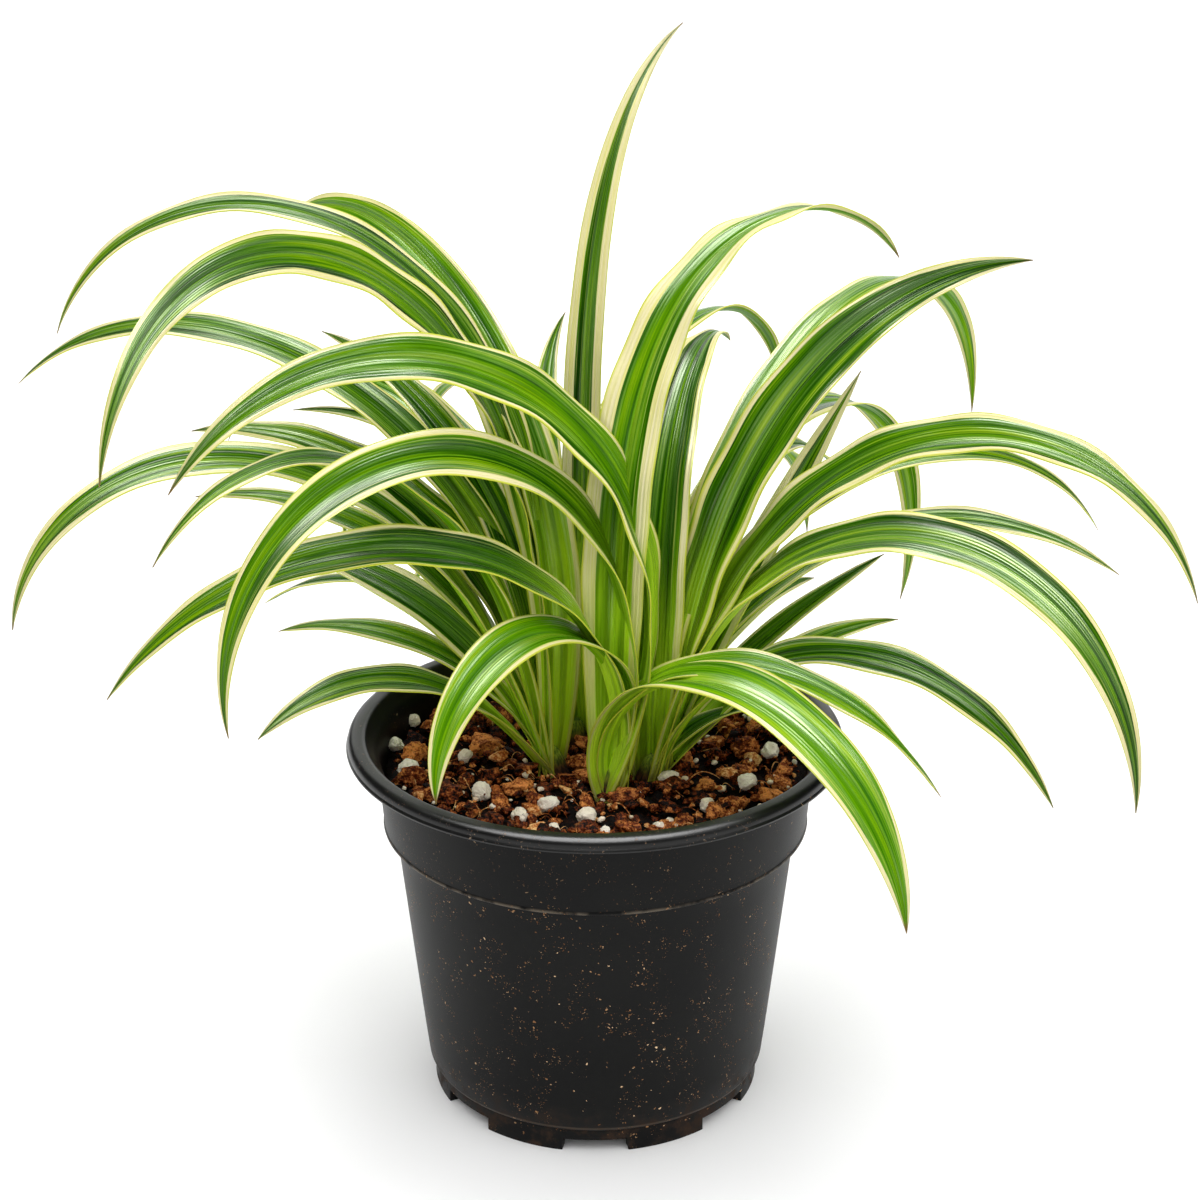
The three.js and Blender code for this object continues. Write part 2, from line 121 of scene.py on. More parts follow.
class Finish:
    """One material, with short calls for the nodes that drive it."""

    def __init__(self, name, **even):
        self.material = bpy.data.materials.new(name)
        self.material.use_nodes = True
        self.tree = self.material.node_tree
        self.surface = self.tree.nodes["Principled BSDF"]
        for socket, value in even.items():
            self.surface.inputs[socket.replace("_", " ")].default_value = value

    def put(self, socket, value):
        if isinstance(value, bpy.types.NodeSocket):
            self.tree.links.new(value, socket)
        else:
            socket.default_value = value

    def node(self, kind, inputs, **settings):
        made = self.tree.nodes.new("ShaderNode" + kind)
        for key, value in settings.items():
            setattr(made, key, value)
        for key, value in inputs.items():
            self.put(made.inputs[key], value)
        return made

    def math(self, operation, a, b=0.0):
        return self.node("Math", {0: a, 1: b}, operation=operation).outputs[0]

    def plus(self, a, b):
        return self.math("ADD", a, b)

    def minus(self, a, b):
        return self.math("SUBTRACT", a, b)

    def times(self, a, b):
        return self.math("MULTIPLY", a, b)

    def larger(self, a, b):
        return self.math("MAXIMUM", a, b)

    def rest(self, share):
        """What is left of 1."""
        return self.minus(1.0, share)

    def value(self, name):
        return self.node("Attribute", {}, attribute_name=name).outputs["Fac"]

    def place(self):
        return self.node("TexCoord", {}).outputs["Object"]

    def height(self):
        return self.node("SeparateXYZ", {0: self.place()}).outputs["Z"]

    def vector(self, x, y, z):
        return self.node("CombineXYZ", {0: x, 1: y, 2: z}).outputs[0]

    def noise(self, where, scale, detail=2.0, roughness=0.5):
        inputs = {"Vector": where, "Scale": scale, "Detail": detail, "Roughness": roughness}
        return self.node("TexNoise", inputs).outputs["Fac"]

    def step(self, value, low, high):
        """0 below low, 1 above high and an S between."""
        inputs = {"Value": value, "From Min": low, "From Max": high}
        made = self.node("MapRange", inputs, interpolation_type="SMOOTHSTEP")
        return made.outputs["Result"]

    def mix(self, share, a, b):
        made = self.node("Mix", {0: share, 6: a, 7: b}, data_type="RGBA")
        return made.outputs[2]

    def ramp(self, value, stops):
        made = self.node("ValToRGB", {0: value})
        elements = made.color_ramp.elements
        while len(elements) < len(stops):
            elements.new(0.5)
        for element, (position, colour) in zip(elements, stops):
            element.position = position
            element.color = colour
        return made.outputs["Color"]

    def colour(self, value):
        self.put(self.surface.inputs["Base Color"], value)

    def roughness(self, value):
        self.put(self.surface.inputs["Roughness"], value)

    def gloss(self, value):
        self.put(self.surface.inputs["Specular IOR Level"], value)

    def bump(self, height, distance):
        made = self.node("Bump", {"Height": height, "Distance": distance})
        self.put(self.surface.inputs["Normal"], made.outputs[0])


LEAF_SHEEN = (0.95, 1.0, 0.80, 1.0)
DARK_GREENS = [
    (0.36, paint(14, 50, 0)),
    (0.45, paint(38, 86, 0)),
    (0.54, paint(72, 122, 0)),
    (0.68, paint(136, 168, 6)),
]
FRESH_GREENS = [
    (0.36, paint(44, 104, 0)),
    (0.50, paint(92, 148, 0)),
    (0.68, paint(150, 186, 6)),
]
# the middle colour on the next line paints thin pale lines along the blade, a painted sheen
RIB_GREEN, SHEEN_LINE_GREEN, BASE_LIME_WITH_PAINTED_LIGHT = paint(118, 172, 20), paint(150, 186, 60), paint(200, 242, 44)
CREAM, CREAM_STREAK, BASE_CREAM = paint(233, 223, 176), paint(220, 214, 122), paint(220, 226, 96)
EDGE_YELLOW, ROOT_BROWN, TIP_BROWN = paint(188, 196, 40), paint(132, 112, 40), paint(150, 118, 60)


def leaf_finish():
    """Green centre with fine lengthwise streaks and thin lines of painted sheen, cream margins with
    a thin yellow-green edge. The base is painted a lighter lime, partly its own paler colour and
    partly painted light shining through it, and the lower face a fresher green, painted light
    shining through the blade.

    Each leaf's mesh gives across, from -1 to 1 over the blade, share, from 0 at the root to 1 at
    the tip, run, the way along the leaf, under, 1 on the lower face, margin, where the cream
    begins, and tone, one number a leaf."""
    f = Finish("leaf_variegated", Specular_Tint=LEAF_SHEEN)
    across, share, tone = f.value("across"), f.value("share"), f.value("tone")
    run, under, margin = f.value("run"), f.value("under"), f.value("margin")
    off_middle = f.math("ABSOLUTE", across)
    seed = f.times(tone, 61.0)

    def streaks(columns, rows, scale=1.0, detail=2.0, roughness=0.5):
        """Noise drawn out along the leaf. columns and rows say how fast it changes."""
        where = f.vector(f.times(across, columns), f.times(run, rows), seed)
        return f.noise(where, scale, detail, roughness)

    fine, broad = streaks(17.0, 1.0), streaks(3.4, 0.7, detail=1.0)
    mottle = streaks(1.0, 4.0, scale=1.6)
    sheen_lines = streaks(34.0, 0.8, detail=1.0)
    wax = streaks(2.6, 0.5, detail=4.0, roughness=0.6)

    both = f.plus(f.times(fine, 0.4), f.times(broad, 0.6))
    green, fresh = f.ramp(both, DARK_GREENS), f.ramp(both, FRESH_GREENS)
    youth = f.step(f.plus(tone, f.times(mottle, 0.3)), 0.35, 1.15)
    green = f.mix(youth, green, fresh)
    # lower faces mixed towards the fresher green: painted light shining through the blade
    green = f.mix(f.times(under, 0.75), green, fresh)
    rib = f.rest(f.step(off_middle, 0.01, 0.055))
    green = f.mix(f.times(rib, 0.65), green, RIB_GREEN)
    # thin pale lines along the blade: a painted highlight, the sheen on the ribs
    green = f.mix(f.times(f.step(sheen_lines, 0.60, 0.70), 0.12), green, SHEEN_LINE_GREEN)
    # the base is painted a bright lime: partly the leaf's own paler base, partly painted light
    # shining through it and lifting it out of shade
    base = f.rest(f.step(share, 0.08, 0.42))
    streaked = f.plus(0.40, f.times(f.step(broad, 0.40, 0.56), 0.58))
    green = f.mix(f.times(base, streaked), green, BASE_LIME_WITH_PAINTED_LIGHT)

    cream = f.mix(f.step(fine, 0.35, 0.75), CREAM, CREAM_STREAK)
    cream = f.mix(f.times(base, 0.6), cream, BASE_CREAM)
    past_margin = f.minus(off_middle, margin)
    wander = f.times(f.minus(fine, 0.5), 0.16)
    pale = f.step(f.plus(past_margin, wander), -0.012, 0.016)
    lines = f.times(f.step(fine, 0.60, 0.66), f.step(past_margin, -0.42, -0.10))
    pale = f.larger(pale, f.times(lines, 0.3))
    foot = f.rest(f.step(share, 0.04, 0.20))
    pale = f.times(pale, f.rest(f.times(foot, 0.35)))

    colour = f.mix(pale, green, cream)
    colour = f.mix(f.times(f.step(off_middle, 0.92, 0.98), 0.9), colour, EDGE_YELLOW)
    root = f.rest(f.step(run, 0.0, 0.12))
    colour = f.mix(f.times(root, 0.5), colour, ROOT_BROWN)
    tip = f.step(f.plus(share, f.times(tone, 0.012)), 0.985, 1.005)
    f.colour(f.mix(tip, colour, TIP_BROWN))

    waxy = f.step(wax, 0.42, 0.62)
    f.gloss(f.plus(0.02, f.times(waxy, 0.74)))
    rough = f.plus(0.14, f.times(fine, 0.32))
    f.roughness(f.plus(rough, f.times(under, 0.16)))
    ribs = f.math("SINE", f.times(across, 52.0))
    f.bump(f.plus(f.times(ribs, 0.22), fine), 0.00022)
    return f.material


def crown_finish():
    """Pale, fibrous rootstock with brown papery remains towards the mix."""
    f = Finish("crown_fibrous", Roughness=0.8, Specular_IOR_Level=0.1)
    drawn_out = f.node("Mapping", {"Vector": f.place(), "Scale": (1.0, 1.0, 0.12)}).outputs[0]
    fibres = f.noise(drawn_out, 1400.0, 3.0)
    low = f.rest(f.step(f.height(), 0.103, 0.109))
    pale = f.mix(f.step(fibres, 0.35, 0.65), paint(150, 168, 48), paint(92, 116, 26))
    brown = f.mix(f.step(fibres, 0.4, 0.6), paint(84, 50, 20), paint(40, 22, 8))
    f.colour(f.mix(low, pale, brown))
    f.bump(fibres, 0.0004)
    return f.material


CRUMB_COLOURS = [
    (0.1, paint(104, 68, 40)),
    (0.5, paint(166, 122, 82)),
    (0.9, paint(228, 196, 156)),
]
STEP_EDGE, FOOT_EDGE, LIP_FOOT = 0.0889, 0.0090, 0.1125  # heights in metres


def pot_finish():
    """Black moulded plastic with a soft sheen, splashed with fine crumbs of the mix. A thin line at
    the step is partly dust and partly a painted highlight, and the line round the foot is a
    painted highlight.
    """
    f = Finish("pot_black_plastic")
    place, height = f.place(), f.height()
    cloud, grain = f.noise(place, 24.0, 3.0), f.noise(place, 2600.0, 2.0)
    bend_inputs = {"Vector": place, "Scale": 900.0, "Detail": 2.0}
    bend = f.node("TexNoise", bend_inputs).outputs["Color"]
    bend = f.node("VectorMath", {0: bend, "Scale": 0.0019}, operation="SCALE").outputs[0]
    bent = f.node("VectorMath", {0: place, 1: bend}, operation="ADD").outputs[0]

    def specks(cell_mm, largest, share_kept, drift, colour_shift):
        """How much of a dot each point has, and its hue. Dots lie in a share of the cells of an
        irregular grid, gathered where noise of the scale drift runs high."""
        cells = f.node("TexVoronoi", {"Vector": bent, "Scale": 1 / (cell_mm * MM)})
        pick = f.node("SeparateColor", {0: cells.outputs["Color"]})
        kept = f.step(pick.outputs[0], 1 - share_kept, 1 - share_kept * 0.8)
        past_dot = f.minus(cells.outputs["Distance"], f.times(pick.outputs[1], largest))
        dot = f.rest(f.step(past_dot, 0.0, 0.05))
        gathered = f.step(f.noise(place, drift, 3.0, 0.7), 0.50, 0.57)
        amount = f.times(f.times(dot, kept), gathered)
        return amount, f.plus(f.times(pick.outputs[2], 0.8), colour_shift)

    def edge(level, inner, outer):
        """1 along a line round the pot, at a height in metres."""
        off = f.math("ABSOLUTE", f.minus(height, level))
        return f.rest(f.step(off, inner, outer))

    fine, fine_hue = specks(0.60, 0.36, 0.55, 110.0, 0.0)
    coarse, coarse_hue = specks(1.3, 0.26, 0.34, 75.0, 0.2)
    on_body = f.rest(f.times(f.step(height, 0.084, 0.094), 0.72))
    amount = f.times(f.larger(fine, coarse), on_body)
    hue = f.larger(f.times(fine_hue, fine), f.times(coarse_hue, coarse))
    crumbs = f.ramp(hue, CRUMB_COLOURS)

    black = f.mix(f.step(cloud, 0.3, 0.7), paint(7, 7, 7), paint(14, 14, 13))
    low = f.rest(f.step(height, 0.002, 0.020))
    silt = f.times(low, f.step(f.noise(place, 130.0, 4.0, 0.65), 0.46, 0.66))
    black = f.mix(f.times(silt, 0.32), black, paint(92, 66, 48))
    # a thin light line at the step: partly dust in the crease, partly a painted highlight on its
    # edge
    patchy_dust_and_sheen = f.step(f.noise(place, 210.0, 3.0), 0.38, 0.62)
    step_dust_and_highlight = f.times(edge(STEP_EDGE, 0.0003, 0.0011), patchy_dust_and_sheen)
    black = f.mix(f.times(step_dust_and_highlight, 0.38), black, paint(132, 120, 104))
    # a thin light line round the lower edge of the body: a painted highlight
    black = f.mix(f.times(edge(FOOT_EDGE, 0.0002, 0.0008), 0.22), black, paint(120, 104, 88))
    f.colour(f.mix(amount, black, crumbs))

    lip = f.step(height, LIP_FOOT, LIP_FOOT + 0.002)
    f.gloss(f.plus(0.12, f.times(lip, 0.18)))
    rough = f.plus(f.minus(0.36, f.times(lip, 0.1)), f.times(cloud, 0.14))
    f.roughness(f.plus(rough, f.times(f.larger(amount, silt), 0.35)))
    f.bump(f.plus(f.times(grain, 0.12), amount), 0.00022)
    return f.material


def bark_finish(name, dark, middle, light):
    """Crumbly bark and coir: patchy within a chunk, pale where it is worn, and each chunk
    darker or paler by its tone."""
    f = Finish(name, Specular_IOR_Level=0.05)
    place, tone = f.place(), f.value("tone")
    coarse, fine = f.noise(place, 430.0, 5.0, 0.66), f.noise(place, 1700.0, 2.0)
    crumb = f.plus(f.times(coarse, 0.66), f.times(fine, 0.34))
    flakes = f.noise(place, 240.0, 3.0, 0.6)
    level = f.plus(f.times(f.step(crumb, 0.38, 0.64), 0.48), f.times(tone, 0.52))
    colour = f.ramp(level, [(0.24, dark), (0.50, middle), (0.82, light)])
    worn = f.times(f.step(flakes, 0.60, 0.76), 0.28)
    f.colour(f.mix(worn, colour, light))
    f.roughness(f.plus(0.46, f.times(crumb, 0.3)))
    f.bump(crumb, 0.0013)
    return f.material


def perlite_finish():
    """White expanded grains with brown stains, and painted shade in their pits."""
    f = Finish("perlite_white", Specular_IOR_Level=0.35)
    place, tone = f.place(), f.value("tone")
    pits = f.noise(place, 1300.0, 3.0, 0.6)
    white = f.mix(tone, paint(255, 246, 228), paint(246, 220, 182))
    stain = f.step(f.noise(place, 330.0, 3.0, 0.6), 0.52, 0.70)
    colour = f.mix(f.times(stain, 0.25), white, paint(190, 152, 108))
    # pits darkened grey-brown: painted shade in the hollows
    pit_shade = f.rest(f.step(pits, 0.30, 0.42))
    f.colour(f.mix(f.times(pit_shade, 0.4), colour, paint(116, 96, 78)))
    f.roughness(f.plus(0.55, f.times(pits, 0.3)))
    f.bump(pits, 0.0009)
    return f.material


def floor_finish():
    """White paper, hardly uneven."""
    f = Finish("floor_white", Roughness=0.9, Specular_IOR_Level=0.1)
    faint = f.noise(f.place(), 3.0, 2.0)
    f.colour(f.mix(faint, paint(250, 250, 250), paint(253, 253, 253)))
    return f.material


# ---- pot ---------------------------------------------------------------------------------

POT_SIDES = 224
FEET = {"count": 7, "gap_sides": 14, "front_gap_degrees": -90}
COLLAR_FOOT, BODY_FOOT_RADIUS, BODY_TOP_RADIUS = 88.4, 53.0, 61.7
COLLAR_RADII = (65.0, 67.0)  # at its foot and under the lip
RIM_DEPTH, RIM_INNER_RADIUS = 4.4, 69.5
WALL = 1.5
RING_RADIUS, RING_THICKNESS, RING_TOP = 51.2, 3.6, 8.5
FLOOR_UNDERSIDE, FLOOR_THICKNESS = 4.0, 1.8
DRAINS = {"count": 6, "radius": 4.5, "ring_radius": 34.0}
EDGE_BEVEL, SHARP_TURN = 0.28, 50  # millimetres, and degrees from which an edge is bevelled


def inner_radius(height):
    """Radius of the inside of the wall."""
    if height > COLLAR_FOOT:
        share = (height - COLLAR_FOOT) / (POT_HEIGHT - RIM_DEPTH - COLLAR_FOOT)
        return lerp(*COLLAR_RADII, min(1, share)) - WALL
    share = (height - RING_TOP) / (COLLAR_FOOT - RING_TOP)
    return lerp(BODY_FOOT_RADIUS, BODY_TOP_RADIUS, max(0, share)) - WALL


def arc(centre, height, radius, start, end, steps):
    """Radius and height of points round an arc, between two angles in degrees."""
    angles = [math.radians(turn) for turn in np.linspace(start, end, steps)]
    return [(centre + radius * math.cos(a), height + radius * math.sin(a)) for a in angles]


def pot_profile():
    """Radius and height from the middle of the underside, round the lip, to the floor inside.
    The second and third points carry the feet."""
    rim_foot = POT_HEIGHT - RIM_DEPTH
    points = [
        (0, FLOOR_UNDERSIDE),
        (RING_RADIUS - RING_THICKNESS, FLOOR_UNDERSIDE),
        (RING_RADIUS, FLOOR_UNDERSIDE),
        (RING_RADIUS + 0.1, RING_TOP - 0.9),
        (BODY_FOOT_RADIUS - 0.7, RING_TOP - 0.1),
        (BODY_FOOT_RADIUS, RING_TOP + 1.1),
    ]
    for share in np.linspace(0.12, 1, 9):
        radius = lerp(BODY_FOOT_RADIUS, BODY_TOP_RADIUS, share)
        points.append((radius, lerp(RING_TOP, COLLAR_FOOT, share)))
    collar, under_lip = COLLAR_RADII
    points += [
        (BODY_TOP_RADIUS + 0.2, COLLAR_FOOT + 0.1),
        (collar - 0.2, COLLAR_FOOT + 0.2),
        (collar + 0.3, COLLAR_FOOT + 0.5),
        (collar + 0.3, COLLAR_FOOT + 1.0),
        (collar, COLLAR_FOOT + 1.5),
        (lerp(collar, under_lip, 0.5), lerp(COLLAR_FOOT, rim_foot, 0.5)),
        (under_lip, rim_foot - 0.8),
        (under_lip + 0.8, rim_foot),
        (RIM_RADIUS - 1.2, rim_foot),
        (RIM_RADIUS - 0.3, rim_foot + 0.3),
        (RIM_RADIUS, rim_foot + 0.9),
        (RIM_RADIUS - 0.5, rim_foot + 1.6),
    ]
    points += arc(RIM_RADIUS - 2.7, POT_HEIGHT - 2.2, 2.2, 0, 90, 6)
    points += arc(RIM_INNER_RADIUS + 1.8, POT_HEIGHT - 1.8, 1.8, 90, 165, 5)
    points += [
        (inner_radius(POT_HEIGHT) + 0.9, rim_foot - 1.4),
        (inner_radius(POT_HEIGHT), rim_foot - 3.4),
        (inner_radius(COLLAR_FOOT + 1.5), COLLAR_FOOT + 1.5),
        (inner_radius(COLLAR_FOOT), COLLAR_FOOT - 0.6),
        (inner_radius(RING_TOP), RING_TOP),
        (inner_radius(RING_TOP) - 0.8, FLOOR_UNDERSIDE + FLOOR_THICKNESS),
        (0, FLOOR_UNDERSIDE + FLOOR_THICKNESS),
    ]
    return points


def tube_faces(rings, sides):
    """Faces between rings of points that follow one another, and a cap on either end."""
    faces = []
    for ring in range(rings - 1):
        here, there = ring * sides, (ring + 1) * sides
        for i in range(sides):
            after = (i + 1) % sides
            faces.append([here + i, there + i, there + after, here + after])
    faces.append(list(range(sides)))
    faces.append([(rings - 1) * sides + i for i in reversed(range(sides))])
    return faces


def turned(profile, sides):
    """Points and faces of a body of revolution whose profile starts and ends on the axis."""
    rings = profile[1:-1]
    turns = [2 * math.pi * i / sides for i in range(sides)]
    points = [(r * math.cos(t), r * math.sin(t), z) for r, z in rings for t in turns]
    bottom, top = len(points), len(points) + 1
    points += [(0, 0, profile[0][1]), (0, 0, profile[-1][1])]
    faces = []
    for ring in range(len(rings) - 1):
        for i in range(sides):
            after = (i + 1) % sides
            low, high = ring * sides, (ring + 1) * sides
            faces.append((low + i, low + after, high + after, high + i))
    last = (len(rings) - 1) * sides
    for i in range(sides):
        after = (i + 1) % sides
        faces.append((bottom, after, i))
        faces.append((top, last + i, last + after))
    return points, faces


def is_foot(angle):
    """True where a foot stands, at an angle in degrees round the pot."""
    pitch = 360 / FEET["count"]
    half_gap = FEET["gap_sides"] / 2 * 360 / POT_SIDES
    off_gap = (angle - FEET["front_gap_degrees"] + pitch / 2) % pitch - pitch / 2
    return abs(off_gap) > half_gap


def drain_cutter():
    """Seven upright drills through the floor, joined in one mesh."""
    cutter = bmesh.new()
    radius, ring_radius = DRAINS["radius"] * MM, DRAINS["ring_radius"]
    places = [(0.0, 0.0)]
    for i in range(DRAINS["count"]):
        angle = 2 * math.pi * i / DRAINS["count"]
        places.append((ring_radius * math.cos(angle), ring_radius * math.sin(angle)))
    for x, y in places:
        centre = Vector(to_row((x, y, FLOOR_UNDERSIDE)))
        bmesh.ops.create_cone(
            cutter,
            cap_ends=True,
            segments=40,
            radius1=radius,
            radius2=radius,
            depth=3 * FLOOR_THICKNESS * MM,
            matrix=Matrix.Translation(centre),
        )
    mesh = bpy.data.meshes.new("drain_cutter")
    cutter.to_mesh(mesh)
    cutter.free()
    return bpy.data.objects.new("drain_cutter", mesh)


def lower_feet(body):
    """Draws the feet down from the first band of faces, the underside of the foot ring."""
    body.faces.ensure_lookup_table()
    feet = [body.faces[i] for i in range(POT_SIDES) if is_foot((i + 0.5) * 360 / POT_SIDES)]
    grown = bmesh.ops.extrude_face_region(body, geom=feet)["geom"]
    lowered = [part for part in grown if isinstance(part, bmesh.types.BMVert)]
    bmesh.ops.translate(body, verts=lowered, vec=(0, 0, -FLOOR_UNDERSIDE * MM))
    bmesh.ops.delete(body, geom=feet, context="FACES_ONLY")


def drill_drains(pot):
    """Gives the pot a mesh in which the drain holes are cut."""
    cutter = drain_cutter()
    bpy.context.scene.collection.objects.link(cutter)
    holes = pot.modifiers.new("drains", "BOOLEAN")
    holes.object = cutter
    holes.solver = "EXACT"
    bpy.context.view_layer.update()
    drilled = pot.evaluated_get(bpy.context.evaluated_depsgraph_get())
    pot_mesh = bpy.data.meshes.new_from_object(drilled)
    pot.modifiers.clear()
    pot.data = pot_mesh
    bpy.data.objects.remove(cutter)


def make_pot(material):
    """The pot in one piece, with feet, bevelled edges and drain holes."""
    points, faces = turned(pot_profile(), POT_SIDES)
    body = bmesh.new()
    corners = [body.verts.new(point) for point in to_row(points)]
    for face in faces:
        body.faces.new([corners[i] for i in face])
    lower_feet(body)
    limit = math.radians(SHARP_TURN)
    sharp = [edge for edge in body.edges if edge.is_manifold and edge.calc_face_angle() > limit]
    bevel = {"offset": EDGE_BEVEL * MM, "segments": 2, "profile": 0.6, "affect": "EDGES"}
    bmesh.ops.bevel(body, geom=sharp, **bevel)
    mesh = bpy.data.meshes.new("pot_shell")
    body.to_mesh(mesh)
    body.free()
    drill_drains(add_mesh(mesh, material, "pot", sharp_above=35))


# ---- potting mix -------------------------------------------------------------------------

CROWNS = {
    "left": (-13, 5),
    "front": (4, -9),
    "right": (17, -1),
    "back_left": (-6, 26),
    "back_right": (17, 25),
}
MIX_LEVEL, MIX_RELIEF = 104.5, 2.2
CROWN_DIP, DIP_RADIUS = 101.6, 12.0
GROUND_RINGS, GROUND_SIDES = 66, 168
GROUND_SUNK = 2.0  # how far the body of the mix lies below the surface that the chunks keep to
CHUNK_FACES, CHUNK_LEAN = 7, 0.8  # broken faces, and the most that a chunk leans, in radians
CHUNK_BREAKS, GRAIN_BREAKS = (0.45, 0.85), (0.72, 1.0)


def distance_to_crown(x, y):
    """How far the nearest crown's middle is."""
    return min(math.hypot(x - cx, y - cy) for cx, cy in CROWNS.values())


def mix_surface(x, y):
    """Height of the mix's surface: three crossing waves, sunk around each crown."""
    waves = math.sin(x * 0.21 + 1) * math.cos(y * 0.17)
    waves += 0.6 * math.sin(x * 0.41 - y * 0.37)
    waves += 0.4 * math.cos(x * 0.73 + y * 0.61 + 2)
    share = smooth(distance_to_crown(x, y), DIP_RADIUS * 0.6, DIP_RADIUS * 1.4)
    return lerp(CROWN_DIP, MIX_LEVEL + MIX_RELIEF * 0.5 * waves, float(share))


def rugged(x, y, z, scale):
    """Fractal noise of about -1 to 1, at a scale in millimetres."""
    dimension, lacunarity, octaves = 1.0, 2.0, 3
    return noise.fractal(Vector((x, y, z)) / scale, dimension, lacunarity, octaves)


def make_ground(material):
    """The mix as one body that fills the pot, crumbly on top."""
    radius = inner_radius(MIX_LEVEL) - 0.15
    underside = FLOOR_UNDERSIDE + FLOOR_THICKNESS + 0.3
    profile = [
        (0, underside),
        (inner_radius(RING_TOP) - 1.4, underside),
        (inner_radius(RING_TOP) - 0.3, RING_TOP),
        (inner_radius(COLLAR_FOOT) - 0.3, COLLAR_FOOT),
    ]
    profile += [(radius * (1 - i / GROUND_RINGS), MIX_LEVEL) for i in range(GROUND_RINGS + 1)]
    points, faces = turned(profile, GROUND_SIDES)
    shaped = []
    for x, y, z in points:
        if z == MIX_LEVEL:
            crumbs = 0.9 * rugged(x, y, 0, 5.5) + 0.45 * rugged(x, y, 40, 2.0)
            z = mix_surface(x, y) - GROUND_SUNK + crumbs
        shaped.append((x, y, z))
    ground = add_piece("mix_ground", shaped, faces, material, "potting_mix")
    set_values(ground, "tone", [0.1 + 0.2 * rugged(x, y, 9, 8.0) for x, y, _ in shaped])


def rock_template(level):
    """Points and faces of a small sphere, to be bent into chunks."""
    ball = bmesh.new()
    bmesh.ops.create_icosphere(ball, subdivisions=level, radius=1.0)
    points = np.array([v.co for v in ball.verts])
    faces = [[v.index for v in face.verts] for face in ball.faces]
    ball.free()
    return points, faces


class Scatter:
    """Chunks gathered into one mesh, each with a tone of its own."""

    def __init__(self, seed):
        self.draw = np.random.default_rng(seed)
        self.points, self.faces, self.tones = [], [], []

    def pick(self, limits):
        """A number drawn between two limits, or the single number that is given."""
        return self.draw.uniform(*limits) if isinstance(limits, tuple) else limits

    def places(self, count, gap, clear, reach):
        """Places on the mix, at least a gap apart and clear of the crowns, drawn at random."""
        places, tries = [], 30 * count
        for _ in range(tries):
            if len(places) == count:
                break
            angle = self.draw.uniform(0, 2 * math.pi)
            radius = reach * math.sqrt(self.draw.uniform())
            x, y = radius * math.cos(angle), radius * math.sin(angle)
            near = any(math.hypot(x - px, y - py) < gap for px, py in places)
            if not near and distance_to_crown(x, y) > clear:
                places.append((x, y))
        return places

    def add(self, points, faces, tone):
        """Takes in one chunk."""
        start = len(self.points)
        self.points.extend(points.tolist())
        self.faces.extend([start + i for i in face] for face in faces)
        self.tones.extend([tone] * len(points))

    def chunk(self, template, centre, sizes, ruggedness, tone, breaks):
        """A rough lump with three half sizes, turned any way but lying rather flat. Its broken
        faces lie at random between the two shares of its half size in breaks."""
        points, faces = template
        offset = Vector(self.draw.uniform(-90, 90, 3))
        broken = points.copy()
        for _ in range(CHUNK_FACES):
            normal = self.draw.normal(size=3)
            normal /= np.linalg.norm(normal)
            past = np.maximum(0, broken @ normal - self.draw.uniform(*breaks))
            broken -= past[:, None] * normal
        shaped = []
        for x, y, z in broken:
            dent = noise.noise(Vector((x, y, z)) * 1.3 + offset)
            ridge = noise.noise(Vector((x * 1.2, y * 4.2, z * 4.2)) + offset)
            crumb = noise.fractal(Vector((x, y, z)) * 5.5 + offset, 0.8, 2.1, 2)
            swell = 1 + ruggedness * (dent + 0.6 * ridge + 0.26 * crumb)
            shaped.append((x * swell, y * swell, z * swell))
        spin = Matrix.Rotation(self.draw.uniform(0, 2 * math.pi), 3, "Z")
        lean = Matrix.Rotation(self.draw.uniform(-CHUNK_LEAN, CHUNK_LEAN), 3, "X")
        turn = np.array(spin @ lean)
        shaped = (np.array(shaped) * np.array(sizes)) @ turn.T
        self.add(shaped + np.array(centre), faces, tone)

    def strew(
        self,
        template,
        places,
        size,
        width,
        depth,
        ruggedness,
        tone,
        lift=0.0,
        raised=0.0,
        breaks=CHUNK_BREAKS,
    ):
        """A chunk at each place. size is its largest half size, and width and depth are the
        others as shares of it. Its middle lies above the mix's surface by lift, and by the share
        raised of its size."""
        for x, y in places:
            length = self.pick(size)
            sizes = (length, length * self.pick(width), length * self.pick(depth))
            centre = (x, y, mix_surface(x, y) + self.pick(lift) + raised * length)
            self.chunk(template, centre, sizes, ruggedness, self.pick(tone), breaks)

    def piece(self, name, material):
        """The finished mesh."""
        made = add_piece(
            name,
            self.points,
            self.faces,
            material,
            "potting_mix",
            sharp_above=75,
        )
        set_values(made, "tone", self.tones)


# Grains that stand out in the photograph: x, y and half size.
PERLITE_SEEN = [
    (22.4, -8.8, 3.2),
    (45.6, -17.1, 3.0),
    (33.1, -28.6, 2.4),
    (-14.0, -28.6, 3.0),
    (-2.4, -39.7, 2.8),
    (-22.1, -37.8, 2.6),
    (-57.0, -6.0, 3.1),
    (-62.0, 11.9, 2.4),
    (-58.2, 30.0, 2.6),
    (53.9, 5.4, 3.0),
    (-40.1, 3.2, 2.5),
    (-34.0, -22.0, 3.1),
    (-42.4, 31.4, 2.2),
    (-12.0, -44.0, 2.4),
    (18.9, -41.0, 2.2),
    (2.8, -47.0, 2.0),
]


